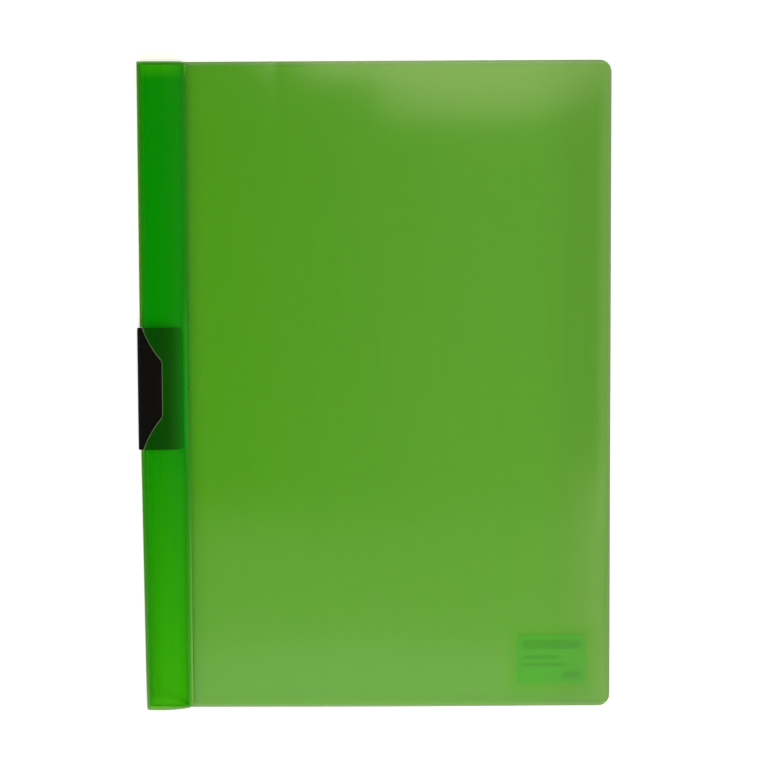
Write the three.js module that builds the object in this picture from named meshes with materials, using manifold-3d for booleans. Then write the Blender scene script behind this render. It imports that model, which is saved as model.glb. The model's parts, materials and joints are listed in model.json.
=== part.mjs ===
// Clip folder for A4 sheets: a translucent green film cover folded round the spine, a clear film
// front cover, and a spring steel clip that slides out of the spine to let unpunched sheets in.
// Millimetres, +Z up. The folder lies closed on its back: +Y is its top, +X its fore-edge, and the
// origin is the middle of its footprint on the table.

import * as THREE from 'three';
import { mergeVertices } from 'three/addons/utils/BufferGeometryUtils.js';
import Module from 'manifold-3d';

const wasm = await Module();
wasm.setup();

// Driving dimensions of the sheets
const folderWidth = 225; // outside of the spine to the fore-edge
const backHeight = 310.4; // the green blank, which is also the length of the spine
const frontTrim = 0.4; // the clear front sheet is this much shorter at each end
const linerTrim = 1.4; // and so is the inner sleeve, which ends just inside the spine
const backFilm = 0.3;
const frontFilm = 0.3;
const linerFilm = 0.3;
const foreEdgeCorner = 5.6; // radius of the two corners at the fore-edge

// The spine tube, which the green film forms round the clip
const stripWidth = 22.5; // green strip that shows on the front, up to its cut edge
const spineFold = 0.9; // radius of the lower fold, at mid-film
const shoulderDrop = 2.2; // height over which the spine wall rounds into the strip
const shoulderReach = 2.3; // how far the rounding reaches in from the spine
const crestInset = 7.5; // highest line of the strip, measured from the spine
const crestAtHead = 5.4; // height of that line at the head, the middle and the foot
const crestAtMiddle = 6.6;
const crestAtFoot = 8.0;
const crestRun = 6; // the strip stays high for about this long past its crest
const weldEase = 1.1; // and levels out again this close to the weld
const weldRise = 1.7; // how steeply it comes down there
const weldWidth = 1.6; // flat margin where the strip is welded to the clear sheet
const stripCorner = 1.4; // rounded corners of the strip's free edge
const tubeStations = 14; // steps along the spine

// The finger window, punched through the film at the spine so that the clip can be gripped
const windowInnerLength = 29.5; // its inner edge, between the slanting sides
const windowDepth = 10.6; // how far it reaches in from the spine
const windowShoulder = 1.1; // full length over this much of the depth, past the fold
const windowBow = 1; // hollow of the slanting sides
const windowCorner = 1.3; // rounding of the two inner corners
const windowSideClearance = 0.3; // at each end of the clip

// The spring clip
const clipLength = 58.5; // along the spine
const clipSteel = 0.5;
const clipProud = 1.3; // how far its back stands out of the spine
const clipTip = 20.2; // end of its jaws, measured from the spine
const clipJaw = 18.5; // line where the upper jaw pinches
const clipBend = 1.5; // bend radius between back and legs, at mid-steel
const clipFlat = 6.5; // the upper leg starts to fall here
const clipFallStart = 4.5; // how gently it starts to fall
const clipFallEnd = 2.2; // and how gently it comes to the jaw
const clipLip = 0.3; // rise of the flared lip past the jaw
const clipCorner = 2.6; // rounded corners of the jaws
const clipBackCorner = 0.8;

// Running clearances and the gap that takes the sheets
const slideGap = 0.25; // between the clip and the films that it slides along
const sheetGap = 0.4; // between the walls of the empty sleeve
const crestGap = 0.85; // the strip's crest stands this far above the clip

// The sleeve's fold, a loop of springy film that the jaw can't pass
const loopInset = 1.5; // its outside, measured from the spine
const loopReach = 3.1; // depth of the loop
const loopRise = 0.75; // how far it stands above the sleeve
const linerWeld = 1.4; // flange welded to the back sheet
const linerRamp = 1.1; // where the lower wall comes down to that flange
const frontRamp = 0.9; // where the upper wall comes up to the clear margin
const rampInset = 0.2; // the lower wall's ramp starts this far before the weld line

// The front cover's living hinge
const hingeInset = 1; // clear film that shows between the strip and the crease
const creaseGap = 0.1; // width of the thinned crease
const coverBow = 2; // the sheet bows up by this much between hinge and fore-edge
const coverRest = 0.3; // clearance over the back sheet at the fore-edge
const weldOverlapStart = 0.2; // the clear margin starts this far past the strip's crease

// The paper sticker on the outside of the back sheet
const labelWidth = 33;
const labelHeight = 23.8;
const labelThickness = 0.1;
const labelFromForeEdge = 28.1; // to its middle
const labelFromFoot = 23;
const labelCorner = 1.2;

// Heights of the layers, from the table upwards
const backUnder = labelThickness;
const backTop = backUnder + backFilm;
const legUnder = backTop + slideGap;
const legTop = legUnder + clipSteel;
const sleeveUnder = legTop + slideGap;
const sleeveTop = sleeveUnder + 2 * linerFilm + sheetGap;
const jawUnder = sleeveTop + slideGap;
const frontUnder = sleeveTop + linerFilm; // the sleeve's front flange lies under the clear margin
const frontTop = frontUnder + frontFilm;

// Lengths along the spine
const frontHeight = backHeight - 2 * frontTrim;
const linerHeight = backHeight - 2 * linerTrim;
const windowLength = clipLength + 2 * windowSideClearance;

// Distances from the spine, along X
const weldStart = stripWidth - weldWidth;
const creaseLine = stripWidth + hingeInset;

// Top of the clip, which clears the strip where it is lowest over the clip
const clipCrest = backUnder + crestAt(windowLength / 2) - backFilm - crestGap;

const materials = {
  greenFilm: new THREE.MeshStandardMaterial({ color: 0x17900c, roughness: 0.35, metalness: 0,
    transparent: true, opacity: 0.8 }),
  clearFilm: new THREE.MeshStandardMaterial({ color: 0xdfeadb, roughness: 0.25, metalness: 0,
    transparent: true, opacity: 0.35 }),
  blackSteel: new THREE.MeshStandardMaterial({ color: 0x121310, roughness: 0.45, metalness: 0.3 }),
  labelPaper: new THREE.MeshStandardMaterial({ color: 0xeef0ea, roughness: 0.8, metalness: 0 }),
};

// A closed mesh as a solid that can be cut and joined.
function solidFrom(geometry) {
  const bare = new THREE.BufferGeometry();
  bare.setAttribute('position', geometry.getAttribute('position'));
  if (geometry.index) bare.setIndex(geometry.index);
  const merged = mergeVertices(bare, 1e-4);
  return new wasm.Manifold(new wasm.Mesh({
    numProp: 3,
    vertProperties: new Float32Array(merged.attributes.position.array),
    triVerts: new Uint32Array(merged.index.array),
  }));
}

function geometryFrom(solid) {
  const mesh = solid.getMesh();
  const geometry = new THREE.BufferGeometry();
  geometry.setAttribute('position', new THREE.BufferAttribute(mesh.vertProperties, 3));
  geometry.setIndex(new THREE.BufferAttribute(mesh.triVerts, 1));
  geometry.computeVertexNormals();
  return geometry;
}

// The outline of a sheet that follows a line of points, half its thickness to each side.
function sheetOutline(line, thickness) {
  const half = thickness / 2;
  const left = [];
  const right = [];
  line.forEach((point, i) => {
    const before = line[Math.max(i - 1, 0)];
    const after = line[Math.min(i + 1, line.length - 1)];
    const into = new THREE.Vector2().subVectors(i ? point : after, i ? before : point).normalize();
    const out = new THREE.Vector2()
      .subVectors(i < line.length - 1 ? after : point, i < line.length - 1 ? point : before)
      .normalize();
    const across = new THREE.Vector2(-(into.y + out.y), into.x + out.x).normalize();
    const mitre = half / Math.max(across.dot(new THREE.Vector2(-into.y, into.x)), 0.5);
    left.push(point.clone().addScaledVector(across, mitre));
    right.push(point.clone().addScaledVector(across, -mitre));
  });
  const outline = [...left, ...right.reverse()];
  return THREE.ShapeUtils.isClockWise(outline) ? outline.reverse() : outline;
}

// Skins sections that lie across the folder, one at each station along Y, into a closed body.
function loft(sections, stations) {
  const count = sections[0].length;
  const positions = sections.flatMap((section, j) => section.flatMap((p) => [p.x, stations[j], p.y]));
  const faces = [];
  for (let j = 0; j < stations.length - 1; j++) {
    for (let i = 0; i < count; i++) {
      const next = (i + 1) % count;
      const [a, b] = [j * count + i, j * count + next];
      const [c, d] = [b + count, a + count];
      faces.push(a, c, b, a, d, c);
    }
  }
  const last = (stations.length - 1) * count;
  for (const [a, b, c] of THREE.ShapeUtils.triangulateShape(sections[0], [])) faces.push(a, b, c);
  for (const [a, b, c] of THREE.ShapeUtils.triangulateShape(sections.at(-1), [])) {
    faces.push(last + a, last + c, last + b);
  }
  const geometry = new THREE.BufferGeometry();
  geometry.setAttribute('position', new THREE.Float32BufferAttribute(positions, 3));
  geometry.setIndex(faces);
  return solidFrom(geometry);
}

// One section carried straight along Y, centred on the middle of the folder.
function prism(section, length) {
  return loft([section, section], [-length / 2, length / 2]);
}

// A shape drawn in plan, X across and Y along, raised from one height to another.
function slab(shape, bottom, top) {
  const geometry = new THREE.ExtrudeGeometry(shape, {
    depth: top - bottom, bevelEnabled: false, curveSegments: 8,
  });
  geometry.translate(0, 0, bottom);
  geometry.deleteAttribute('normal');
  geometry.deleteAttribute('uv');
  return solidFrom(geometry);
}

// A rectangle in plan from x0 to x1, with one radius at its low X end and another at its high X end.
function roundedPlan(x0, x1, length, lowRadius, highRadius) {
  const half = length / 2;
  const shape = new THREE.Shape();
  shape.moveTo(x0 + lowRadius, -half);
  shape.lineTo(x1 - highRadius, -half);
  if (highRadius) shape.absarc(x1 - highRadius, highRadius - half, highRadius, -Math.PI / 2, 0, false);
  shape.lineTo(x1, half - highRadius);
  if (highRadius) shape.absarc(x1 - highRadius, half - highRadius, highRadius, 0, Math.PI / 2, false);
  shape.lineTo(x0 + lowRadius, half);
  if (lowRadius) shape.absarc(x0 + lowRadius, half - lowRadius, lowRadius, Math.PI / 2, Math.PI, false);
  shape.lineTo(x0, lowRadius - half);
  if (lowRadius) {
    shape.absarc(x0 + lowRadius, lowRadius - half, lowRadius, Math.PI, 1.5 * Math.PI, false);
  }
  return shape;
}

// Height of the strip's crest at a place along the spine: a smooth line through its three heights.
function crestAt(y) {
  const t = (2 * y) / backHeight;
  const tilt = (crestAtHead - crestAtFoot) / 2;
  const belly = (crestAtHead + crestAtFoot) / 2 - crestAtMiddle;
  return crestAtMiddle + tilt * t + belly * t * t;
}

// The green blank's section: back sheet, lower fold, spine wall, strip and its welded margin.
function backSection(y) {
  const half = backFilm / 2;
  const floor = backUnder + half;
  const crest = backUnder + crestAt(y) - half;
  const margin = frontTop + half;
  const line = new THREE.Path();
  line.moveTo(folderWidth, floor);
  line.lineTo(half + spineFold, floor);
  line.absarc(half + spineFold, floor + spineFold, spineFold, 1.5 * Math.PI, Math.PI, true);
  line.lineTo(half, crest - shoulderDrop);
  line.bezierCurveTo(half, crest - 0.15 * shoulderDrop, shoulderReach, crest, crestInset, crest);
  line.bezierCurveTo(crestInset + crestRun, crest, weldStart - weldEase, margin + weldRise,
    weldStart, margin);
  line.lineTo(stripWidth, margin);
  return sheetOutline(line.getPoints(10), backFilm);
}

// The punched window in plan: as long as the clip at the spine, and narrowing inwards.
function windowPlan() {
  const outer = windowLength / 2;
  const inner = windowInnerLength / 2;
  const sideEnd = windowDepth - windowCorner;
  const [bowX, bowY] = [(windowShoulder + sideEnd) / 2 - windowBow, (outer + inner) / 2 - windowBow];
  const shape = new THREE.Shape();
  shape.moveTo(-2 * clipProud, -outer);
  shape.lineTo(windowShoulder, -outer);
  shape.quadraticCurveTo(bowX, -bowY, sideEnd, -inner);
  shape.quadraticCurveTo(windowDepth, windowCorner - inner, windowDepth, 2 * windowCorner - inner);
  shape.lineTo(windowDepth, inner - 2 * windowCorner);
  shape.quadraticCurveTo(windowDepth, inner - windowCorner, sideEnd, inner);
  shape.quadraticCurveTo(bowX, bowY, windowShoulder, outer);
  shape.lineTo(-2 * clipProud, outer);
  return shape;
}

// What a rounded corner at the strip's free edge takes away, at the head (side 1) or foot (side -1).
function stripCornerWaste(side) {
  const spare = 1;
  const [x, y] = [stripWidth, (side * backHeight) / 2];
  const shape = new THREE.Shape();
  shape.moveTo(x - stripCorner, y);
  shape.absarc(x - stripCorner, y - side * stripCorner, stripCorner, (side * Math.PI) / 2, 0, side > 0);
  shape.lineTo(x + spare, y - side * stripCorner);
  shape.lineTo(x + spare, y + side * spare);
  shape.lineTo(x - stripCorner, y + side * spare);
  return slab(shape, frontTop - frontFilm / 2, backUnder + 2 * crestAtFoot);
}

function backCover() {
  const stations = Array.from({ length: tubeStations + 1 },
    (_, j) => backHeight * (j / tubeStations - 0.5));
  const high = backUnder + 2 * crestAtFoot;
  const folded = loft(stations.map(backSection), stations);
  const trimmed = folded.intersect(
    slab(roundedPlan(-clipProud, folderWidth, backHeight, 0, foreEdgeCorner), -1, high));
  return trimmed
    .subtract(slab(windowPlan(), -1, high))
    .subtract(stripCornerWaste(1))
    .subtract(stripCornerWaste(-1));
}

// The sleeve that takes the sheets' edges. Its two walls lie inside the clip's jaws.
function linerSleeve() {
  const half = linerFilm / 2;
  const upper = sleeveTop - half;
  const lower = sleeveUnder + half;
  const loopTop = upper + loopRise;
  const loopStart = loopInset + loopReach;
  const loopPeak = loopInset + 0.5 * loopReach;
  const rampStart = weldStart - rampInset;
  const line = new THREE.Path();
  line.moveTo(stripWidth, sleeveTop + half);
  line.lineTo(weldStart, sleeveTop + half);
  line.lineTo(weldStart - frontRamp, upper);
  line.lineTo(loopStart, upper);
  line.bezierCurveTo(loopStart - 0.25 * loopReach, upper, loopPeak + 0.2 * loopReach, loopTop,
    loopPeak, loopTop);
  line.bezierCurveTo(loopInset + half, loopTop, loopInset + half, lower,
    loopInset + 0.45 * loopReach, lower);
  line.lineTo(rampStart, lower);
  line.lineTo(rampStart + linerRamp, backTop + half);
  line.lineTo(rampStart + linerRamp + linerWeld, backTop + half);
  return prism(sheetOutline(line.getPoints(8), linerFilm), linerHeight);
}

// The clip, bent from one strip of spring steel: flat lower leg, back, and a falling upper leg.
function springClip() {
  const half = clipSteel / 2;
  const back = half - clipProud;
  const low = legUnder + half;
  const high = clipCrest - half;
  const jaw = jawUnder + half;
  const line = new THREE.Path();
  line.moveTo(clipTip, low);
  line.lineTo(back + clipBend, low);
  line.absarc(back + clipBend, low + clipBend, clipBend, 1.5 * Math.PI, Math.PI, true);
  line.lineTo(back, high - clipBend);
  line.absarc(back + clipBend, high - clipBend, clipBend, Math.PI, Math.PI / 2, true);
  line.lineTo(clipFlat, high);
  line.bezierCurveTo(clipFlat + clipFallStart, high, clipJaw - clipFallEnd, jaw, clipJaw, jaw);
  line.quadraticCurveTo((clipJaw + clipTip) / 2, jaw, clipTip, jaw + clipLip);
  const bent = prism(sheetOutline(line.getPoints(8), clipSteel), clipLength);
  const plan = roundedPlan(-clipProud, clipTip + half, clipLength, clipBackCorner, clipCorner);
  return bent.intersect(slab(plan, 0, 2 * clipCrest));
}

// The clear sheet's margin, welded between the strip and the sleeve.
function coverMargin() {
  const section = [
    new THREE.Vector2(weldStart + weldOverlapStart, frontUnder),
    new THREE.Vector2(creaseLine - creaseGap / 2, frontUnder),
    new THREE.Vector2(creaseLine - creaseGap / 2, frontTop),
    new THREE.Vector2(weldStart + weldOverlapStart, frontTop),
  ];
  return prism(section, frontHeight);
}

// The clear sheet past its crease: a shallow arch from the hinge down to the fore-edge.
function frontCover() {
  const half = frontFilm / 2;
  const start = new THREE.Vector2(creaseLine + creaseGap / 2, frontUnder + half);
  const end = new THREE.Vector2(folderWidth, backTop + coverRest + half);
  const rise = new THREE.Vector2((start.x + end.x) / 2, (start.y + end.y) / 2 + 2 * coverBow);
  const line = new THREE.QuadraticBezierCurve(start, rise, end);
  const arched = prism(sheetOutline(line.getPoints(24), frontFilm), frontHeight);
  const plan = roundedPlan(creaseLine - 1, folderWidth, frontHeight, 0, foreEdgeCorner);
  return arched.intersect(slab(plan, -1, frontTop + 3 * coverBow));
}

function label() {
  const x = folderWidth - labelFromForeEdge;
  const plan = roundedPlan(x - labelWidth / 2, x + labelWidth / 2, labelHeight, labelCorner, labelCorner);
  return slab(plan, 0, labelThickness).translate([0, labelFromFoot - backHeight / 2, 0]);
}

function part(name, solid, material) {
  const mesh = new THREE.Mesh(geometryFrom(solid), material);
  mesh.name = name;
  return mesh;
}

const folder = new THREE.Group();
folder.name = 'clip_folder';
folder.position.x = -(folderWidth - clipProud) / 2; // distances above are measured from the spine
folder.add(
  part('back_cover', backCover(), materials.greenFilm),
  part('inner_sleeve', linerSleeve(), materials.greenFilm),
  part('spring_clip', springClip(), materials.blackSteel),
  part('front_cover_margin', coverMargin(), materials.clearFilm),
  part('front_cover', frontCover(), materials.clearFilm),
  part('label', label(), materials.labelPaper),
);

export default folder;
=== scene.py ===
import json
import math

import bpy
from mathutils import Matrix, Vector, noise


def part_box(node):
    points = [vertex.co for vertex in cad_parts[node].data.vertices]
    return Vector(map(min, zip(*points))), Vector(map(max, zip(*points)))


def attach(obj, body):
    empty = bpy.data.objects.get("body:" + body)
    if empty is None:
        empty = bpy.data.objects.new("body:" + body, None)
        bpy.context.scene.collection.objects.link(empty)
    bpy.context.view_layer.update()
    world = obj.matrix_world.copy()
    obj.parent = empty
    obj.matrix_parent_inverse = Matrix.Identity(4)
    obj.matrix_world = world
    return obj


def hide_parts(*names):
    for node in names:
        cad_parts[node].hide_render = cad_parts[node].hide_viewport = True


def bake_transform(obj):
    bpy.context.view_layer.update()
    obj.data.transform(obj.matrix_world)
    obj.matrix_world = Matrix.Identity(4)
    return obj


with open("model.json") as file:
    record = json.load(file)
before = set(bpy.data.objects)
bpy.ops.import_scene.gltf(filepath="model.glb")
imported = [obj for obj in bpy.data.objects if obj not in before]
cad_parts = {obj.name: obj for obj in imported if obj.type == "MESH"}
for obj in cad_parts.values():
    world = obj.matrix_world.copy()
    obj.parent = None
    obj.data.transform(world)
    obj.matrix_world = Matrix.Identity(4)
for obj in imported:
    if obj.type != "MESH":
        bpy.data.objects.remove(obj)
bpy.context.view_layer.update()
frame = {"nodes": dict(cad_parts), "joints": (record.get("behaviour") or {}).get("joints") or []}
bpy.ops.object.select_all(action="DESELECT")


# Camera
# The photograph looks almost straight down on the closed folder from nearly a metre away, with the
# foot of the folder a little further off than its head.
camera_target = (0.0051, 0.0011, 0.0)
camera_distance = 0.95
camera_turn = [math.radians(angle) for angle in (-4.23, 0.41, -0.27)]
camera_lens = 92.55
nearest_seen = 0.05

bpy.ops.object.camera_add(location=camera_target, rotation=camera_turn)
camera = bpy.context.object
bpy.context.view_layer.update()
camera.location = camera.matrix_world @ Vector((0, 0, camera_distance))
camera.data.lens = camera_lens
camera.data.clip_start = nearest_seen
bpy.context.scene.camera = camera


# Studio
# A white table under a dim ceiling, with four large softboxes that stand round it and a few panels that
# hang over it. The panel over the middle is dim, so that the glossy films show their deep colour there
# and catch more light where they curl.
ceiling_glow = 0.06
table_size = 8
table_drop = 0.0001
table_white = "#E9E9E9"
table_lift = 0.45
standing_softboxes = {
    "left": {"place": (-1.25, 0.1, 1.15), "size": (1.1, 1.3), "watts": 8.4},
    "right": {"place": (1.25, 0.1, 1.15), "size": (1.1, 1.3), "watts": 8.7},
    "head": {"place": (0.0, 1.3, 1.2), "size": (1.6, 0.9), "watts": 2.4},
    "foot": {"place": (0.0, -1.4, 1.2), "size": (1.4, 0.8), "watts": 22.5},
}
panel_glow = "#FFE5C6"
foot_glow = "#FFE9DE"
hanging_panels = {
    "over_head": {"place": (0.22, 0.62, 1.8), "size": (0.76, 0.44), "watts": 2.83},
    "over_head_corner": {"place": (0.33, 0.35, 1.75), "size": (0.66, 0.105), "watts": 0.36},
    "over_middle": {"place": (0.125, -0.41, 1.8), "size": (1.05, 0.18), "watts": 0.47},
    "over_foot_corner": {"place": (0.51, -0.58, 1.75), "size": (0.2, 0.66), "watts": 0.42},
    "over_right": {"place": (0.78, -0.15, 1.8), "size": (0.5, 1.0), "watts": 2.2},
}
over_foot = {"place": (0.03, -0.8, 1.8), "size": (0.94, 0.6), "watts": 2.4}
graded_panel = {"place": (0.065, 0.04, 1.8), "size": (0.93, 0.72), "rise": (-0.5, 0.15), "brightest": 0.6}


def colour(code):
    """A colour written as sRGB hex, as the linear colour that a shader socket takes."""
    shares = [int(code[i:i + 2], 16) / 255 for i in (1, 3, 5)]
    linear = [c / 12.92 if c <= 0.04045 else ((c + 0.055) / 1.055) ** 2.4 for c in shares]
    return (*linear, 1.0)


def new_material(name):
    """An empty node material and its output node."""
    material = bpy.data.materials.new(name)
    material.use_nodes = True
    material.node_tree.nodes.clear()
    return material, material.node_tree.nodes.new("ShaderNodeOutputMaterial")


def add_node(tree, kind, settings=None, links=None):
    """Adds one node, sets its sockets and properties by name, and links its inputs."""
    node = tree.nodes.new(kind)
    for name, value in (settings or {}).items():
        if isinstance(name, int) or name in node.inputs:
            node.inputs[name].default_value = value
        else:
            setattr(node, name, value)
    for name, source in (links or {}).items():
        tree.links.new(source, node.inputs[name])
    return node


def spot_on_piece(tree):
    """The node whose outputs X, Y and Z say where on its piece a point lies."""
    place = add_node(tree, "ShaderNodeTexCoord")
    return add_node(tree, "ShaderNodeSeparateXYZ", links={0: place.outputs["Object"]})


def lay_table():
    """A table that is lifted to plain white where it is seen bare, and not where it is seen through a
    film, so that the films keep the tone that the light alone gives them."""
    bpy.ops.mesh.primitive_plane_add(size=table_size, location=(0, 0, -table_drop))
    table = bpy.context.object
    table.name = "table"
    material, output = new_material("white_laminate")
    tree = material.node_tree
    board = add_node(tree, "ShaderNodeBsdfDiffuse", {"Color": colour(table_white)})
    path = add_node(tree, "ShaderNodeLightPath")
    bare = add_node(tree, "ShaderNodeMath", {"operation": "SUBTRACT", "use_clamp": True, 0: 1.0},
                    {1: path.outputs["Transparent Depth"]})
    seen = add_node(tree, "ShaderNodeMath", {"operation": "MAXIMUM"},
                    {0: path.outputs["Is Camera Ray"], 1: path.outputs["Is Glossy Ray"]})
    lift = add_node(tree, "ShaderNodeMath", {"operation": "MULTIPLY"},
                    {0: bare.outputs[0], 1: seen.outputs[0]})
    level = add_node(tree, "ShaderNodeMath", {"operation": "MULTIPLY", 1: table_lift},
                     {0: lift.outputs[0]})
    glow = add_node(tree, "ShaderNodeEmission", {"Color": (1, 1, 1, 1)},
                    {"Strength": level.outputs[0]})
    both = add_node(tree, "ShaderNodeAddShader", links={0: board.outputs[0], 1: glow.outputs[0]})
    tree.links.new(both.outputs[0], output.inputs["Surface"])
    table.data.materials.append(material)


def place_softbox(name, turn, glow, place, size, watts):
    """A rectangular lamp at its place."""
    bpy.ops.object.light_add(type="AREA", location=place, rotation=turn)
    lamp = bpy.context.object
    lamp.name = "softbox_" + name
    lamp.data.color = glow[:3]
    lamp.data.shape = "RECTANGLE"
    lamp.data.size, lamp.data.size_y = size
    lamp.data.energy = watts


def hang_graded_panel(place, size, rise, brightest):
    """A panel that is dark at the spine's side and brightens towards the fore-edge. The rise is where
    its light starts and where it is full, in shares of its width from its middle."""
    bpy.ops.mesh.primitive_plane_add(size=1, location=place, rotation=(math.pi, 0, 0))
    panel = bpy.context.object
    panel.name = "graded_panel"
    panel.scale = (*size, 1)
    panel.visible_camera = False
    material, output = new_material("graded_light")
    tree = material.node_tree
    spot = spot_on_piece(tree)
    level = add_node(tree, "ShaderNodeMapRange",
                     {"From Min": rise[0], "From Max": rise[1], "To Max": brightest},
                     {"Value": spot.outputs["X"]})
    glow = add_node(tree, "ShaderNodeEmission", {"Color": colour(panel_glow)},
                    {"Strength": level.outputs["Result"]})
    tree.links.new(glow.outputs[0], output.inputs["Surface"])
    panel.data.materials.append(material)


def paint_world():
    """A ceiling that is dim for the folder and plain white behind it for the camera."""
    world = bpy.data.worlds.new("studio")
    bpy.context.scene.world = world
    world.use_nodes = True
    tree = world.node_tree
    tree.nodes.clear()
    path = add_node(tree, "ShaderNodeLightPath")
    level = add_node(tree, "ShaderNodeMapRange", {"To Min": ceiling_glow, "To Max": 1.0},
                     {"Value": path.outputs["Is Camera Ray"]})
    sky = add_node(tree, "ShaderNodeBackground", {"Color": (1, 1, 1, 1)},
                   {"Strength": level.outputs["Result"]})
    output = add_node(tree, "ShaderNodeOutputWorld")
    tree.links.new(sky.outputs[0], output.inputs["Surface"])


lay_table()
for softbox, setting in standing_softboxes.items():
    towards_folder = Vector(camera_target) - Vector(setting["place"])
    turn = towards_folder.to_track_quat("-Z", "Y").to_euler()
    place_softbox(softbox, turn, colour("#FFFFFF"), **setting)
for softbox, setting in hanging_panels.items():
    place_softbox(softbox, (0, 0, 0), colour(panel_glow), **setting)
place_softbox("over_foot", (0, 0, 0), colour(foot_glow), **over_foot)
hang_graded_panel(**graded_panel)
paint_world()
bpy.context.scene.view_settings.view_transform = "Standard"


# Back cover
# One blank of polypropylene film, dyed deep green and calendered to a satin gloss. It lies flat as the
# back sheet, folds up at the spine and comes over the front as the strip. Thin film lets light through,
# so one layer over white looks leaf green, and the layers of the spine look darker.
green_body = "#0CA806"
green_clear = "#D6F4A0"
green_share = {"share": 0.085, "unevenness": 0.15}
green_skin = {"shine": 0.004, "roughness": 0.3}
green_grain = {"width": 0.0006, "length": 0.09, "depth": 0.00001}
body_roughness = 0.6
grain_spread = (0.3, 0.7)
grazing_rise = 5.0
strip_width = 0.0225
strip_lowest = 0.0022
below_clip = -0.03
# Painted light in the strip towards its weld, strongest over the clip, which softens the clip's dark
# shadow seen through the film.
strip_painted_scatter = {"reach": 0.0125, "rise": 3.0, "at_clip": 0.35, "elsewhere": 0.08, "fade": 0.015}
# Painted shadow on the back sheet beside the strip.
painted_spine_shadow = {"reach": 0.008, "most": 0.03}
# A pale green painted along the strip's border for the light and shade at its ends, its weld edge and its
# bend.
painted_border_green = "#6CAA42"
painted_border_share = 0.85
end_border = {"width": 0.003, "at_head": 0.4, "rise": 1.5}
weld_border = {"width": 0.0018, "above": 0.2, "at_foot": 0.6}
bend_border = {"width": 0.005, "at_foot": 1.0}
# Painted shade towards the fore-edge: a darker green laid into the film there.
fore_edge_shade_green = "#0A8906"
fore_edge_shade_share = 0.02
fore_edge_shade_rise = (0.078, 0.098)
# A pale tone for the green film: at the sheet's cut edges partly whitening from the shears and partly a
# painted highlight, round the window a painted highlight.
pale_edge_and_highlight = "#A9BFA2"
cut_edge_reach = 0.0016
cut_edge_share = 0.07
cut_edge_rise = 2.0
window_rim = 0.0003
window_rim_share = 0.1
window_depth = 0.0106
window_outline = [(0.0, 0.02955), (0.0011, 0.02955), (0.0028, 0.02548), (0.0047, 0.02165),
                  (0.0069, 0.01808), (0.0093, 0.01475), (0.0103, 0.01345), (0.0106, 0.01215)]
outline_reach = 0.03
outline_slant = 0.5
foot_draw = 0.0012
foot_corner = 0.0015
facet_weld = 0.000002
contact_gap = 0.00001
cover_low, cover_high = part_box("back_cover")
strip_weld = cover_low.x + strip_width


def film_grain(tree, width, length, depth):
    """Bump of the long fine ribs that calendering leaves along the folder's height."""
    place = add_node(tree, "ShaderNodeTexCoord")
    stretch = add_node(tree, "ShaderNodeMapping", {"Scale": (1 / width, 1 / length, 1 / width)},
                       {"Vector": place.outputs["Object"]})
    ribs = add_node(tree, "ShaderNodeTexNoise", {"Scale": 1.0, "Detail": 3.0, "Roughness": 0.6},
                    {"Vector": stretch.outputs[0]})
    bump = add_node(tree, "ShaderNodeBump", {"Strength": 1.0, "Distance": depth},
                    {"Height": ribs.outputs["Fac"]})
    return ribs.outputs["Fac"], bump.outputs["Normal"]


def film_material(name, body, clear, grain, share, unevenness, shine, roughness):
    """A film: part of the light meets its body, the rest goes through tinted, and its skin is glossy."""
    material, output = new_material(name)
    tree = material.node_tree
    ribs, normal = film_grain(tree, **grain)
    dye = add_node(tree, "ShaderNodeBsdfPrincipled",
                   {"name": "dye", "Base Color": colour(body), "Roughness": body_roughness,
                    "Specular IOR Level": 0.0})
    through = add_node(tree, "ShaderNodeBsdfTransparent", {"Color": colour(clear)})
    density = add_node(tree, "ShaderNodeMapRange",
                       {"From Min": grain_spread[0], "From Max": grain_spread[1],
                        "To Min": share * (1 - unevenness), "To Max": share * (1 + unevenness)},
                       {"Value": ribs})
    film = add_node(tree, "ShaderNodeMixShader", {"name": "film"},
                    {0: density.outputs["Result"], 1: through.outputs[0], 2: dye.outputs[0]})
    skin = add_node(tree, "ShaderNodeBsdfAnisotropic", {"Roughness": roughness}, {"Normal": normal})
    slant = add_node(tree, "ShaderNodeLayerWeight", {"Blend": 0.5})
    grazing = add_node(tree, "ShaderNodeMath", {"operation": "POWER", 1: grazing_rise},
                       {0: slant.outputs["Facing"]})
    gloss = add_node(tree, "ShaderNodeMath",
                     {"operation": "MULTIPLY_ADD", 1: 1 - shine, 2: shine},
                     {0: grazing.outputs[0]})
    whole = add_node(tree, "ShaderNodeMixShader", {"name": "whole"},
                     {0: gloss.outputs[0], 1: film.outputs[0], 2: skin.outputs[0]})
    tree.links.new(whole.outputs[0], output.inputs["Surface"])
    return material


def thicken_film(tree, extra):
    """Adds to the share of light that meets the body of a film."""
    share = tree.nodes["film"].inputs[0]
    total = add_node(tree, "ShaderNodeMath", {"operation": "ADD"},
                     {0: share.links[0].from_socket, 1: extra})
    tree.links.new(total.outputs[0], share)


def tint_film(tree, mask, share, tint):
    """Gives a film more body, and another colour of it, where the mask is 1."""
    extra = add_node(tree, "ShaderNodeMath", {"operation": "MULTIPLY", 1: share}, {0: mask})
    thicken_film(tree, extra.outputs[0])
    base = tree.nodes["dye"].inputs["Base Color"]
    tone = add_node(tree, "ShaderNodeMix",
                    {"data_type": "RGBA", 6: tuple(base.default_value), 7: colour(tint)}, {0: mask})
    if base.links:
        tree.links.new(base.links[0].from_socket, tone.inputs[6])
    tree.links.new(tone.outputs[2], base)


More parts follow.
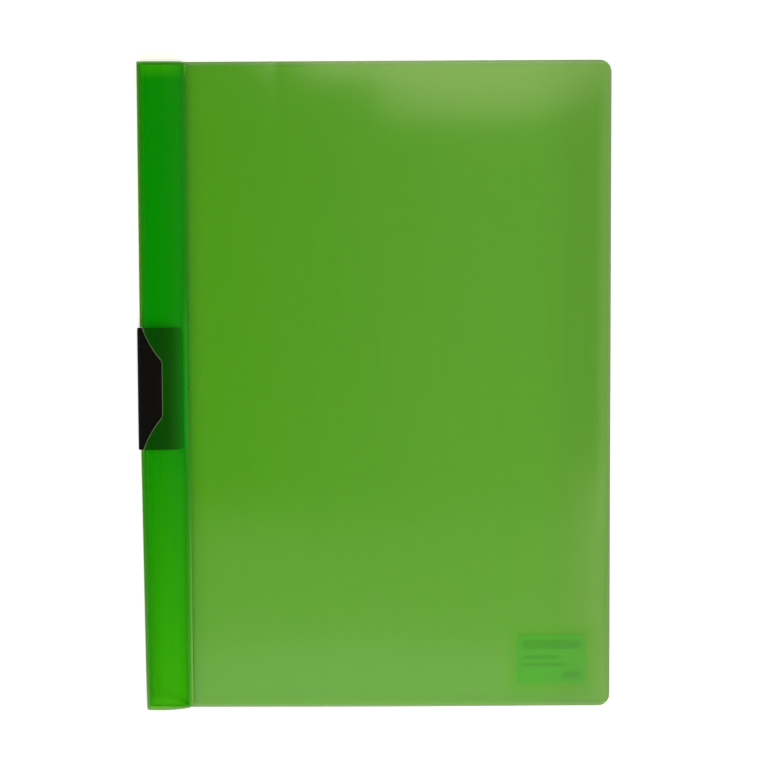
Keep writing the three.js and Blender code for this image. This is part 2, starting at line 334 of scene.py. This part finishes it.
def cut_edges(tree, corner, reach):
    """A mask that rises to 1 at the fore-edge, head and foot of a sheet, where shears have cut it."""
    spot = spot_on_piece(tree)
    fore_edge = add_node(tree, "ShaderNodeMapRange", {"From Min": corner.x - reach, "From Max": corner.x},
                         {"Value": spot.outputs["X"]})
    height = add_node(tree, "ShaderNodeMath", {"operation": "ABSOLUTE"}, {0: spot.outputs["Y"]})
    ends = add_node(tree, "ShaderNodeMapRange", {"From Min": corner.y - reach, "From Max": corner.y},
                    {"Value": height.outputs[0]})
    edge = add_node(tree, "ShaderNodeMath", {"operation": "MAXIMUM"},
                    {0: fore_edge.outputs["Result"], 1: ends.outputs["Result"]})
    fade = add_node(tree, "ShaderNodeMath", {"operation": "POWER", 1: cut_edge_rise},
                    {0: edge.outputs[0]})
    return fade.outputs[0]


def window_rim_highlight(tree, spine):
    """A mask that is 1 in a hair's width round the finger window, where a painted highlight marks the
    window's cut edge.
    The window's half outline is a curve of its reach along the spine against its depth. Its sides
    slant, so the distance to them is about half of that along the spine."""
    spot = spot_on_piece(tree)
    depth = add_node(tree, "ShaderNodeMapRange", {"From Min": spine, "From Max": spine + window_depth},
                     {"Value": spot.outputs["X"]})
    outline = add_node(tree, "ShaderNodeFloatCurve", links={"Value": depth.outputs["Result"]})
    curve = outline.mapping.curves[0]
    ends = (window_outline[0], window_outline[-1])
    for point, (x, y) in zip((curve.points[0], curve.points[-1]), ends):
        point.location = (x / window_depth, y / outline_reach)
    for x, y in window_outline[1:-1]:
        curve.points.new(x / window_depth, y / outline_reach)
    outline.mapping.update()
    along = add_node(tree, "ShaderNodeMath", {"operation": "ABSOLUTE"}, {0: spot.outputs["Y"]})
    past = add_node(tree, "ShaderNodeMath", {"operation": "MULTIPLY_ADD", 1: -outline_reach},
                    {0: outline.outputs["Value"], 2: along.outputs[0]})
    beyond = add_node(tree, "ShaderNodeMath", {"operation": "SUBTRACT", 1: spine + window_depth},
                      {0: spot.outputs["X"]})
    slanting = add_node(tree, "ShaderNodeMath", {"operation": "MULTIPLY", 1: outline_slant},
                        {0: past.outputs[0]})
    distance = add_node(tree, "ShaderNodeMath", {"operation": "MAXIMUM"},
                        {0: slanting.outputs[0], 1: beyond.outputs[0]})
    rim = add_node(tree, "ShaderNodeMath", {"operation": "LESS_THAN", 1: window_rim},
                   {0: distance.outputs[0]})
    return rim.outputs[0]


def smooth_copy(node, name, crease, drawn_in=0.0, ring_at=None):
    """A copy of a CAD node, to stand for it, with its facets welded and its rounds shaded smooth. Drawn
    in by a hair, its faces stay clear of the neighbours that it lies against. A ring is a row of
    vertices across the piece, past which it can be bent."""
    bpy.ops.object.select_all(action="DESELECT")
    piece = bpy.data.objects.new(name, frame["nodes"][node].data.copy())
    bpy.context.scene.collection.objects.link(piece)
    bpy.context.view_layer.objects.active = piece
    piece.select_set(True)
    bpy.ops.object.mode_set(mode="EDIT")
    bpy.ops.mesh.select_all(action="SELECT")
    bpy.ops.mesh.remove_doubles(threshold=facet_weld)
    if ring_at is not None:
        bpy.ops.mesh.bisect(plane_co=(0, ring_at, 0), plane_no=(0, 1, 0))
    bpy.ops.object.mode_set(mode="OBJECT")
    inwards = [-drawn_in * vertex.normal for vertex in piece.data.vertices]
    for vertex, step in zip(piece.data.vertices, inwards):
        vertex.co += step
    bpy.ops.object.shade_smooth_by_angle(angle=math.radians(crease))
    level = piece.modifiers.new("level", "WEIGHTED_NORMAL")
    level.keep_sharp = True
    bpy.ops.object.modifier_apply(modifier=level.name)
    piece.data.materials.clear()
    return piece


def paint_strip_light_and_shadow(tree):
    """Paints light into the strip towards its weld, as more body there, in place of the light that
    scatters in the film over the clip's jaw, and paints shadow on the back sheet beside the strip, where
    less light gets in."""
    spot = spot_on_piece(tree)
    across = add_node(tree, "ShaderNodeMapRange",
                      {"From Min": strip_weld - strip_painted_scatter["reach"], "From Max": strip_weld},
                      {"Value": spot.outputs["X"]})
    late = add_node(tree, "ShaderNodeMath", {"operation": "POWER", 1: strip_painted_scatter["rise"]},
                    {0: across.outputs["Result"]})
    along = add_node(tree, "ShaderNodeMath", {"operation": "ABSOLUTE"}, {0: spot.outputs["Y"]})
    most = add_node(tree, "ShaderNodeMapRange",
                    {"From Min": -below_clip, "From Max": strip_painted_scatter["fade"] - below_clip,
                     "To Min": strip_painted_scatter["at_clip"], "To Max": strip_painted_scatter["elsewhere"]},
                    {"Value": along.outputs[0]})
    painted_scatter = add_node(tree, "ShaderNodeMath", {"operation": "MULTIPLY"},
                    {0: late.outputs[0], 1: most.outputs["Result"]})
    beside = add_node(tree, "ShaderNodeMapRange",
                      {"From Min": strip_weld + painted_spine_shadow["reach"], "From Max": strip_weld,
                       "To Max": painted_spine_shadow["most"]}, {"Value": spot.outputs["X"]})
    on_strip = add_node(tree, "ShaderNodeMath", {"operation": "GREATER_THAN", 1: strip_lowest},
                        {0: spot.outputs["Z"]})
    extra = add_node(tree, "ShaderNodeMix", {"data_type": "FLOAT"},
                     {0: on_strip.outputs[0], 2: beside.outputs["Result"], 3: painted_scatter.outputs[0]})
    thicken_film(tree, extra.outputs[0])


def strip_ends(tree, spot):
    """A mask that rises to 1 at the strip's foot end, and less at its head end."""
    foot = add_node(tree, "ShaderNodeMapRange",
                    {"From Min": cover_low.y + end_border["width"], "From Max": cover_low.y},
                    {"Value": spot.outputs["Y"]})
    head = add_node(tree, "ShaderNodeMapRange",
                    {"From Min": -cover_low.y - end_border["width"], "From Max": -cover_low.y,
                     "To Max": end_border["at_head"]}, {"Value": spot.outputs["Y"]})
    either = add_node(tree, "ShaderNodeMath", {"operation": "MAXIMUM"},
                      {0: foot.outputs["Result"], 1: head.outputs["Result"]})
    ends = add_node(tree, "ShaderNodeMath", {"operation": "POWER", 1: end_border["rise"]},
                    {0: either.outputs[0]})
    return ends.outputs[0]


def weld_edge(tree, spot):
    """A mask for the strip's edge along its weld, where a painted highlight lies, stronger towards the
    foot.
    """
    edge = add_node(tree, "ShaderNodeMapRange",
                    {"From Min": strip_weld - weld_border["width"],
                     "From Max": strip_weld - weld_border["width"] / 2}, {"Value": spot.outputs["X"]})
    level = add_node(tree, "ShaderNodeMapRange",
                     {"From Min": below_clip, "From Max": cover_low.y, "To Min": weld_border["above"],
                      "To Max": weld_border["at_foot"]}, {"Value": spot.outputs["Y"]})
    lit = add_node(tree, "ShaderNodeMath", {"operation": "MULTIPLY"},
                   {0: edge.outputs["Result"], 1: level.outputs["Result"]})
    return lit.outputs[0]


def spine_bend(tree, spot):
    """A mask for painted light on the strip's bend down into the spine, from below the clip to the foot.
    """
    bend = add_node(tree, "ShaderNodeMapRange",
                    {"From Min": cover_low.x + bend_border["width"], "From Max": cover_low.x + foot_draw},
                    {"Value": spot.outputs["X"]})
    level = add_node(tree, "ShaderNodeMapRange",
                     {"From Min": below_clip, "From Max": cover_low.y, "To Max": bend_border["at_foot"]},
                     {"Value": spot.outputs["Y"]})
    lit = add_node(tree, "ShaderNodeMath", {"operation": "MULTIPLY"},
                   {0: bend.outputs["Result"], 1: level.outputs["Result"]})
    return lit.outputs[0]


def strip_painted_border(tree):
    """A mask for the painted light and shade along the strip's border: its ends, its edge at the weld and
    its bend.
    """
    spot = spot_on_piece(tree)
    sides = add_node(tree, "ShaderNodeMath", {"operation": "MAXIMUM"},
                     {0: weld_edge(tree, spot), 1: spine_bend(tree, spot)})
    border = add_node(tree, "ShaderNodeMath", {"operation": "MAXIMUM"},
                      {0: sides.outputs[0], 1: strip_ends(tree, spot)})
    on_strip = add_node(tree, "ShaderNodeMath", {"operation": "GREATER_THAN", 1: strip_lowest},
                        {0: spot.outputs["Z"]})
    mask = add_node(tree, "ShaderNodeMath", {"operation": "MULTIPLY"},
                    {0: border.outputs[0], 1: on_strip.outputs[0]})
    return mask.outputs[0]


def painted_fore_edge_shade(tree):
    """A mask for painted shade on the side towards the fore-edge, where the curl of the sheets keeps
    light out.
    """
    spot = spot_on_piece(tree)
    side = add_node(tree, "ShaderNodeMapRange", {"From Min": fore_edge_shade_rise[0], "From Max": fore_edge_shade_rise[1]},
                    {"Value": spot.outputs["X"]})
    return side.outputs["Result"]


def settle_at_foot(piece, corner=0.0):
    """Draws the spine in towards the foot, where its greater height takes up more of the film, and
    rounds the spine's corner there."""
    for vertex in piece.data.vertices:
        into_corner = min(corner, cover_low.x + corner - vertex.co.x)
        if into_corner > 0 and vertex.co.y < cover_low.y + contact_gap:
            vertex.co.y += corner - math.sqrt(corner ** 2 - into_corner ** 2)
        to_foot = max(0, (below_clip - vertex.co.y) / (below_clip - cover_low.y))
        to_spine = max(0, (strip_weld - vertex.co.x) / strip_width)
        vertex.co.x += foot_draw * to_foot * to_spine


green_film = film_material("dyed_polypropylene_film", green_body, green_clear, green_grain,
                           **green_share, **green_skin)
green_tree = green_film.node_tree
# Painted light over the clip and painted shadow beside the strip.
paint_strip_light_and_shadow(green_tree)
tint_film(green_tree, painted_fore_edge_shade(green_tree), fore_edge_shade_share, fore_edge_shade_green)
tint_film(green_tree, strip_painted_border(green_tree), painted_border_share, painted_border_green)
# Pale cut edges, partly whitened by the shears and partly painted highlight, and a painted highlight
# round the window.
tint_film(green_tree, cut_edges(green_tree, cover_high, cut_edge_reach), cut_edge_share, pale_edge_and_highlight)
tint_film(green_tree, window_rim_highlight(green_tree, cover_low.x), window_rim_share, pale_edge_and_highlight)
green_cover = smooth_copy("back_cover", "green_back_cover", crease=32, ring_at=below_clip)
settle_at_foot(green_cover, corner=foot_corner)
green_cover.data.materials.append(green_film)
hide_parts("back_cover")
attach(green_cover, "folder")


# Inner sleeve
# The same green film, folded into a flat loop inside the spine to take the edges of the sheets. Its
# layers lie close together, so little light gets through and it backs the strip with solid green. Light
# and shade are painted into its colour: lighter towards the foot, where the spine stands higher, and at
# the open head end.
# Shaded and lit tones of the sleeve's green, painted along the spine by the light that gets in.
sleeve_shaded_green = "#00B901"
sleeve_lit_green = "#95E72C"
sleeve_share = {"share": 0.8, "unevenness": 0.08}
sleeve_skin = {"shine": 0.004, "roughness": 0.35}
foot_light_start = -0.01
foot_end = {"reach": 0.0045, "level": 0.6}
head_light = {"reach": 0.007, "level": 0.8}


def paint_sleeve_light(tree, low, high):
    """Paints light and shade into the sleeve's colour along the spine, by the light that gets into it
    there.
    """
    spot = spot_on_piece(tree)
    foot = add_node(tree, "ShaderNodeMapRange", {"From Min": foot_light_start, "From Max": low.y},
                    {"Value": spot.outputs["Y"]})
    head = add_node(tree, "ShaderNodeMapRange",
                    {"From Min": high.y - head_light["reach"], "From Max": high.y,
                     "To Max": head_light["level"]}, {"Value": spot.outputs["Y"]})
    end = add_node(tree, "ShaderNodeMapRange",
                   {"From Min": low.y + foot_end["reach"], "From Max": low.y, "To Min": 1.0,
                    "To Max": foot_end["level"]}, {"Value": spot.outputs["Y"]})
    lower = add_node(tree, "ShaderNodeMath", {"operation": "MULTIPLY"},
                     {0: foot.outputs["Result"], 1: end.outputs["Result"]})
    light = add_node(tree, "ShaderNodeMath", {"operation": "MAXIMUM"},
                     {0: lower.outputs[0], 1: head.outputs["Result"]})
    tone = add_node(tree, "ShaderNodeMix",
                    {"data_type": "RGBA", 6: colour(sleeve_shaded_green), 7: colour(sleeve_lit_green)},
                    {0: light.outputs[0]})
    tree.links.new(tone.outputs[2], tree.nodes["dye"].inputs["Base Color"])


sleeve_film = film_material("doubled_polypropylene_film", sleeve_shaded_green, green_clear, green_grain,
                            **sleeve_share, **sleeve_skin)
paint_sleeve_light(sleeve_film.node_tree, *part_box("inner_sleeve"))
sleeve = smooth_copy("inner_sleeve", "green_inner_sleeve", crease=40, drawn_in=contact_gap,
                     ring_at=below_clip)
settle_at_foot(sleeve)
sleeve.data.materials.append(sleeve_film)
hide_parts("inner_sleeve")
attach(sleeve, "folder")


# Spring clip
# One strip of spring steel, blanked, bent and dip coated in satin black lacquer. The lacquer softens
# its edges and shows a fine grain where it catches the light.
lacquer_black = "#040403"
lacquer_grain = {"width": 0.0004, "depth": 0.00001}


def lacquer():
    """The coat of the steel: nearly black and without mirror shine, because of its fine grain."""
    material, output = new_material("black_lacquered_spring_steel")
    tree = material.node_tree
    place = add_node(tree, "ShaderNodeTexCoord")
    grain = add_node(tree, "ShaderNodeTexNoise", {"Scale": 1 / lacquer_grain["width"], "Detail": 4.0},
                     {"Vector": place.outputs["Object"]})
    shine = add_node(tree, "ShaderNodeMapRange", {"To Min": 0.38, "To Max": 0.55},
                     {"Value": grain.outputs["Fac"]})
    bump = add_node(tree, "ShaderNodeBump", {"Strength": 0.5, "Distance": lacquer_grain["depth"]},
                    {"Height": grain.outputs["Fac"]})
    coat = add_node(tree, "ShaderNodeBsdfPrincipled",
                    {"Base Color": colour(lacquer_black), "Specular IOR Level": 0.07},
                    {"Roughness": shine.outputs["Result"], "Normal": bump.outputs["Normal"]})
    tree.links.new(coat.outputs[0], output.inputs["Surface"])
    return material


clip = smooth_copy("spring_clip", "black_spring_clip", crease=35)
clip.data.materials.append(lacquer())
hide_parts("spring_clip")
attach(clip, "clip")


# Front cover
# One sheet of clear polypropylene film, calendered to a gloss that mirrors the lamps softly. It is
# welded under the strip and scored along the crease that it opens on. It bows up a little over the
# back sheet, curls at its head and foot, and is never quite even.
clear_body = "#BCC2B8"
# A grey painted shade along the clear sheet's cut edges, where the edge darkens what is seen through it.
clear_edge_shade = "#8B9382"
clear_tint = "#F5FBF2"
clear_share = {"share": 0.007, "unevenness": 0.3}
clear_skin = {"shine": 0.04, "roughness": 0.11}
clear_grain = {"width": 0.004, "length": 0.08, "depth": 0.00001}
clear_edge_reach = 0.0024
clear_edge_shade_share = 0.26
# Painted shade in the reflection round the label.
touch_reach = 0.009
reflection_loss = 0.4
hinge = next(joint for joint in frame["joints"] if joint["name"] == "front_cover_hinge")
crease_x = hinge["pos_m"][0]
margin_low, margin_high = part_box("front_cover_margin")
panel_low, panel_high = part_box("front_cover")
sheet_thickness = margin_high.z - margin_low.z - 2 * contact_gap
sheet_margin = (margin_low.z + margin_high.z) / 2
sheet_rest = panel_low.z + sheet_thickness / 2
sheet_half = panel_high.y
sheet_bow = 0.002
corner_radius = 0.0056
head_curl = {"depth": 0.0009, "reach": 0.05}
foot_curl = {"depth": 0.0005, "reach": 0.035}
edge_curl = {"depth": 0.00022, "reach": 0.008}
score_depth = 0.00002
score_width = 0.0003
curl_rise = 1.5
wave_height = 0.00022
wave_length = 0.07
wave_stretch = 1.6
wave_slice = 3.7
margin_columns = 4
crease_columns = 12
panel_columns = 170
sheet_rows = 160
crease_band = 0.0007
column_crowding = 1.35
sheet_crease = 40


def column_place(index):
    """Where a column of the sheet stands: close together at the crease and towards the fore-edge."""
    if index <= margin_columns:
        share = index / margin_columns
        return margin_low.x + (crease_x - crease_band - margin_low.x) * share
    if index <= margin_columns + crease_columns:
        share = (index - margin_columns) / crease_columns
        return crease_x - crease_band + 2 * crease_band * share
    share = (index - margin_columns - crease_columns) / panel_columns
    start = crease_x + crease_band
    return panel_high.x - (panel_high.x - start) * (1 - share) ** column_crowding


def sheet_height(x, y):
    """Height of the middle of the clear sheet."""
    height = sheet_margin
    if x >= crease_x:
        share = (x - crease_x) / (panel_high.x - crease_x)
        belly = 4 * share * (1 - share)
        free = min(1, curl_rise * belly)
        height += (sheet_rest - sheet_margin) * share + sheet_bow * belly
        head = max(0, y - sheet_half + head_curl["reach"]) / head_curl["reach"]
        foot = max(0, -y - sheet_half + foot_curl["reach"]) / foot_curl["reach"]
        height -= free * (head_curl["depth"] * head ** 2 + foot_curl["depth"] * foot ** 2)
        edge = max(0, x - panel_high.x + edge_curl["reach"]) / edge_curl["reach"]
        height -= edge_curl["depth"] * edge ** 2
        wave = Vector((x / wave_length, y / (wave_stretch * wave_length), wave_slice))
        height += free * wave_height * noise.noise(wave)
    score = score_depth * math.exp(-((x - crease_x) / score_width) ** 2)
    return height - score


def bend_clear_sheet():
    """A grid bent into the sheet's form, with rounded fore-edge corners, and given its thickness."""
    columns = margin_columns + crease_columns + panel_columns
    bpy.ops.object.select_all(action="DESELECT")
    bpy.ops.mesh.primitive_grid_add(x_subdivisions=columns, y_subdivisions=sheet_rows, size=2)
    sheet = bpy.context.object
    sheet.name = "clear_front_cover"
    for vertex in sheet.data.vertices:
        x = column_place(round((vertex.co.x + 1) / 2 * columns))
        into_corner = max(0, x - (panel_high.x - corner_radius))
        half = sheet_half - corner_radius + math.sqrt(max(0, corner_radius ** 2 - into_corner ** 2))
        y = half * vertex.co.y
        vertex.co = (x, y, sheet_height(x, y))
    wall = sheet.modifiers.new("wall", "SOLIDIFY")
    wall.thickness = sheet_thickness
    wall.offset = 0
    bpy.ops.object.modifier_apply(modifier=wall.name)
    bpy.ops.object.shade_smooth_by_angle(angle=math.radians(sheet_crease))
    return sheet


def dim_reflection_round_label(tree, low, high):
    """Paints the clear film's reflection darker round the label by dulling its gloss there: a painted
    shade for the darker surroundings that the film mirrors where the label dents it."""
    spot = spot_on_piece(tree)
    near = []
    for axis, start, end in (("X", low.x, high.x), ("Y", low.y, high.y)):
        offset = add_node(tree, "ShaderNodeMath", {"operation": "SUBTRACT", 1: (start + end) / 2},
                          {0: spot.outputs[axis]})
        distance = add_node(tree, "ShaderNodeMath", {"operation": "ABSOLUTE"}, {0: offset.outputs[0]})
        half = (end - start) / 2
        near.append(add_node(tree, "ShaderNodeMapRange",
                             {"interpolation_type": "SMOOTHSTEP", "From Min": half + touch_reach,
                              "From Max": half}, {"Value": distance.outputs[0]}))
    both = add_node(tree, "ShaderNodeMath", {"operation": "MULTIPLY"},
                    {0: near[0].outputs["Result"], 1: near[1].outputs["Result"]})
    left = add_node(tree, "ShaderNodeMath", {"operation": "MULTIPLY_ADD", 1: -reflection_loss, 2: 1.0},
                    {0: both.outputs[0]})
    gloss = tree.nodes["whole"].inputs[0]
    duller = add_node(tree, "ShaderNodeMath", {"operation": "MULTIPLY"},
                      {0: gloss.links[0].from_socket, 1: left.outputs[0]})
    tree.links.new(duller.outputs[0], gloss)


clear_sheet = bend_clear_sheet()
clear_film = film_material("clear_polypropylene_film", clear_body, clear_tint, clear_grain,
                           **clear_share, **clear_skin)
clear_tree = clear_film.node_tree
# Painted grey shade along the clear sheet's cut edges.
tint_film(clear_tree, cut_edges(clear_tree, panel_high, clear_edge_reach), clear_edge_shade_share, clear_edge_shade)
dim_reflection_round_label(clear_tree, *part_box("label"))
clear_sheet.data.materials.append(clear_film)
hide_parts("front_cover", "front_cover_margin")
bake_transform(clear_sheet)


# Label
# A small sticker of coated paper on the outside of the back sheet, seen through both films. It is
# printed in pale green with plain bars, which the films blur a little.
label_paper = "#A8EE70"
label_ink = "#92D860"
label_low, label_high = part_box("label")
label_bars = [
    {"left": 0.08, "right": 0.92, "foot": 0.7, "head": 0.88},
    {"left": 0.08, "right": 0.6, "foot": 0.5, "head": 0.57},
    {"left": 0.08, "right": 0.74, "foot": 0.34, "head": 0.41},
    {"left": 0.66, "right": 0.92, "foot": 0.1, "head": 0.24},
]


def label_mask(tree, spot, bar):
    """1 inside one bar of the label, and 0 outside it. A bar is given in shares of the label."""
    width = label_high - label_low
    edges = {
        "X": (label_low.x + bar["left"] * width.x, label_low.x + bar["right"] * width.x),
        "Y": (label_low.y + bar["foot"] * width.y, label_low.y + bar["head"] * width.y),
    }
    inside = []
    for axis, (low, high) in edges.items():
        over = add_node(tree, "ShaderNodeMath", {"operation": "GREATER_THAN", 1: low},
                        {0: spot.outputs[axis]})
        under = add_node(tree, "ShaderNodeMath", {"operation": "LESS_THAN", 1: high},
                         {0: spot.outputs[axis]})
        inside.append(add_node(tree, "ShaderNodeMath", {"operation": "MULTIPLY"},
                               {0: over.outputs[0], 1: under.outputs[0]}))
    return add_node(tree, "ShaderNodeMath", {"operation": "MULTIPLY"},
                    {0: inside[0].outputs[0], 1: inside[1].outputs[0]})


def printed_paper():
    """White paper under a pale green print, with the bars a little darker."""
    material, output = new_material("coated_label_paper")
    tree = material.node_tree
    spot = spot_on_piece(tree)
    ink = None
    for bar in label_bars:
        mask = label_mask(tree, spot, bar)
        if ink:
            mask = add_node(tree, "ShaderNodeMath", {"operation": "MAXIMUM"},
                            {0: ink.outputs[0], 1: mask.outputs[0]})
        ink = mask
    tone = add_node(tree, "ShaderNodeMix", {"data_type": "RGBA"}, {0: ink.outputs[0]})
    tone.inputs[6].default_value = colour(label_paper)
    tone.inputs[7].default_value = colour(label_ink)
    paper = add_node(tree, "ShaderNodeBsdfPrincipled", {"Roughness": 0.6, "Specular IOR Level": 0.3},
                     {"Base Color": tone.outputs[2]})
    tree.links.new(paper.outputs[0], output.inputs["Surface"])
    return material


sticker = smooth_copy("label", "paper_label", crease=40, drawn_in=contact_gap)
sticker.data.materials.append(printed_paper())
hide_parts("label")
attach(sticker, "folder")
